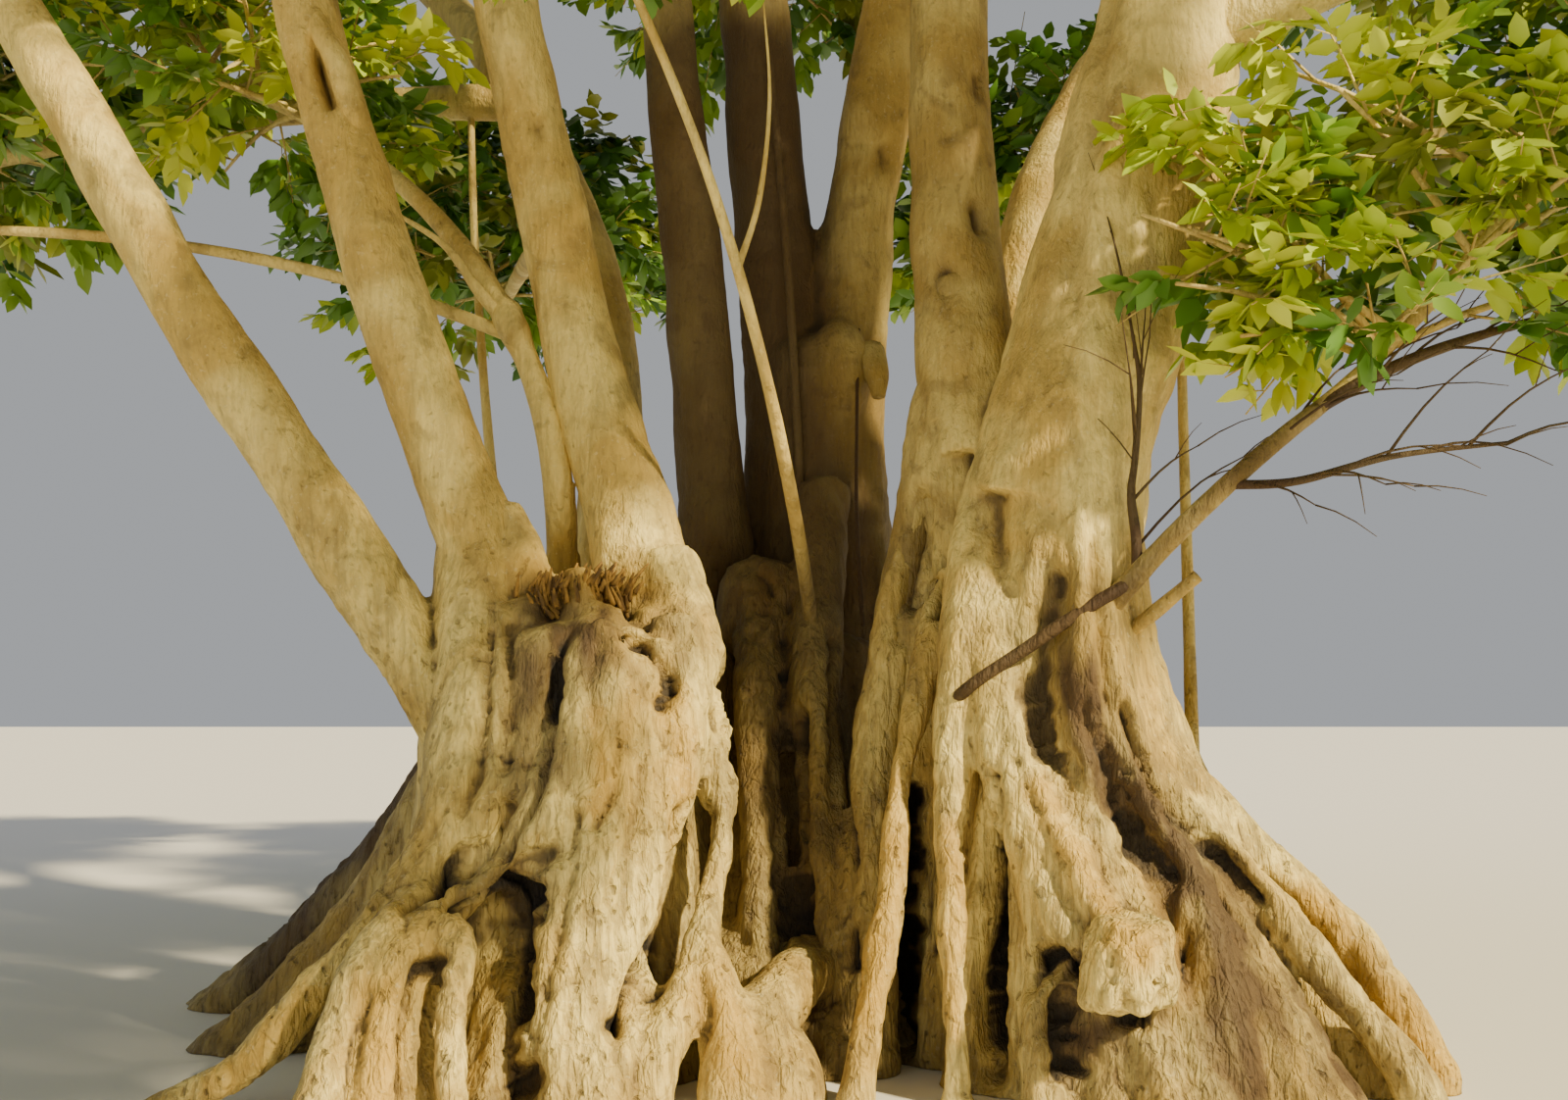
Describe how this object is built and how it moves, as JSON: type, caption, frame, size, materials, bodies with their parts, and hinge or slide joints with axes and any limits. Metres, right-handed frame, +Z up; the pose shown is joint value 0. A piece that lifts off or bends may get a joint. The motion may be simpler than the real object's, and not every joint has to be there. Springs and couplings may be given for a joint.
{
  "type": "banyan tree",
  "caption": "Spreading banyan tree: a fused, fluted trunk of root columns, leaning stems, long boughs, aerial roots and a broad crown of leafy masses, cut flat at the ground.",
  "frame": {"origin": "on the ground, in the middle of the flat cut under the fused trunk", "axes": "+Z up, +X to the right of the front view, +Y away from it"},
  "size_m": [18.7053, 19.8449, 15.0396],
  "materials": {
    "bark": "matte",
    "leaves": "satin"
  },
  "bodies": {
    "root": {"trunk": "bark", "stem_left_outer": "bark", "stem_left": "bark", "stem_slender": "bark", "stem_mid_left": "bark", "stem_rear_left": "bark", "stem_centre": "bark", "stem_centre_fork": "bark", "stem_mid_right": "bark", "stem_main_right": "bark", "stem_back_left": "bark", "stem_back_right": "bark", "bough_right": "bark", "bough_back": "bark", "bough_front_left": "bark", "bough_front": "bark", "bough_front_right": "bark", "bough_low_right_back": "bark", "bough_low_back_right": "bark", "bough_low_back_left": "bark", "bough_low_left_back": "bark", "bough_low_left_front": "bark", "bough_low_front_left": "bark", "bough_low_front_right": "bark", "bough_low_right_front": "bark", "branch_low_right": "bark", "branch_low_left": "bark", "shoot_front": "bark", "aerial_root_front": "bark", "aerial_root_left": "bark", "aerial_root_right": "bark", "foliage_middle_4": "leaves", "foliage_upper_3": "leaves", "foliage_low_left": "leaves", "foliage_upper_4": "leaves", "foliage_upper_2": "leaves", "foliage_top_0": "leaves", "foliage_upper_1": "leaves", "foliage_upper_5": "leaves", "foliage_upper_0": "leaves", "foliage_middle_3": "leaves", "foliage_middle_1": "leaves", "foliage_middle_0": "leaves", "foliage_middle_2": "leaves", "foliage_middle_5": "leaves", "foliage_middle_6": "leaves", "foliage_middle_7": "leaves", "foliage_skirt_0": "leaves", "foliage_skirt_1": "leaves", "foliage_skirt_2": "leaves", "foliage_skirt_3": "leaves", "foliage_skirt_4": "leaves", "foliage_skirt_5": "leaves", "foliage_skirt_6": "leaves", "foliage_skirt_7": "leaves", "foliage_low_right": "leaves", "foliage_far_left": "leaves", "foliage_front": "leaves"}
  },
  "joints": []
}
